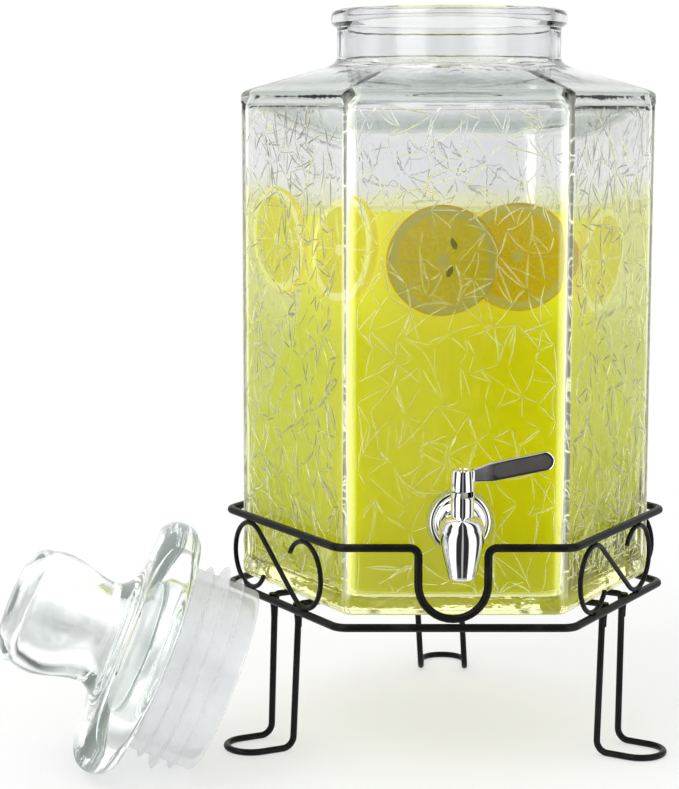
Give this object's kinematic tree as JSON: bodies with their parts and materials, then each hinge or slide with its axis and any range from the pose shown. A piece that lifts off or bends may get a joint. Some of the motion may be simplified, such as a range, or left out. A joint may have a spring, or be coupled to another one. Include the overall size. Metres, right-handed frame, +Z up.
{
  "type": "beverage dispenser",
  "caption": "Hexagonal glass beverage dispenser with a turning tap, on a black wire scroll stand, with its stopper lid lying beside it.",
  "frame": {"origin": "on the table, under the jar's upright axis", "axes": "+X to the right as seen from the tap side, +Y to the back, +Z up; the tap faces -Y"},
  "size_m": [0.4024, 0.3243, 0.4438],
  "materials": {
    "black_wire": "satin black powder coat on steel wire",
    "jar_glass": "clear pressed glass, glossy",
    "lemonade": "cloudy yellow drink",
    "lemon": "wet lemon flesh and rind",
    "chrome": "bright chrome plating",
    "steel": "plain steel pin",
    "clear_washer": "clear soft washer",
    "seal_rubber": "grey sealing rubber",
    "nut_plastic": "moulded off-white plastic",
    "inlay_plastic": "dark grey, fine matte grain",
    "gasket": "translucent white soft plastic"
  },
  "bodies": {
    "stand": {"upper_ring": "black_wire", "lower_ring": "black_wire", "scroll_left_front": "black_wire", "scroll_right_front": "black_wire", "scroll_right_back": "black_wire", "scroll_back": "black_wire", "scroll_left_back": "black_wire", "leg_left": "black_wire", "leg_right": "black_wire", "leg_back": "black_wire"},
    "jar": {"jar": "jar_glass", "lemonade": "lemonade", "lemon_slice_far_left": "lemon", "lemon_slice_left": "lemon", "lemon_slice_front": "lemon", "lemon_slice_middle": "lemon", "lemon_slice_right": "lemon", "tap_body": "chrome", "tap_collar": "chrome", "outer_washer": "clear_washer", "inner_washer": "seal_rubber", "shank_nut": "nut_plastic"},
    "handle": {"handle_cap": "chrome", "lever_arm": "chrome", "lever_inlay": "inlay_plastic"},
    "stem": {"valve_stem": "nut_plastic", "plunger_seal": "seal_rubber", "stem_o_ring": "seal_rubber", "cross_pin": "steel"},
    "lid": {"lid": "jar_glass", "lid_gasket": "gasket"}
  },
  "joints": [
    {"name": "jar_lift", "type": "slide", "parent": "stand", "child": "jar", "axis": [0, 0, 1], "range_m": [0, 0.12]},
    {"name": "lever_turn", "type": "hinge", "parent": "jar", "child": "handle", "pos_m": [0.0023, -0.1338, 0.178], "axis": [0, 0, 1], "range_deg": [-90, 0]},
    {"name": "stem_lift", "type": "slide", "parent": "jar", "child": "stem", "axis": [0, 0, 1], "range_m": [0, 0.004]},
    {"name": "lid_lift", "type": "slide", "parent": "stand", "child": "lid", "axis": [0, 0, 1], "range_m": [0, 0.3]}
  ],
  "couplings": [
    {"joint": "stem_lift", "follows": "lever_turn", "m_per_rad": -0.002546}
  ]
}
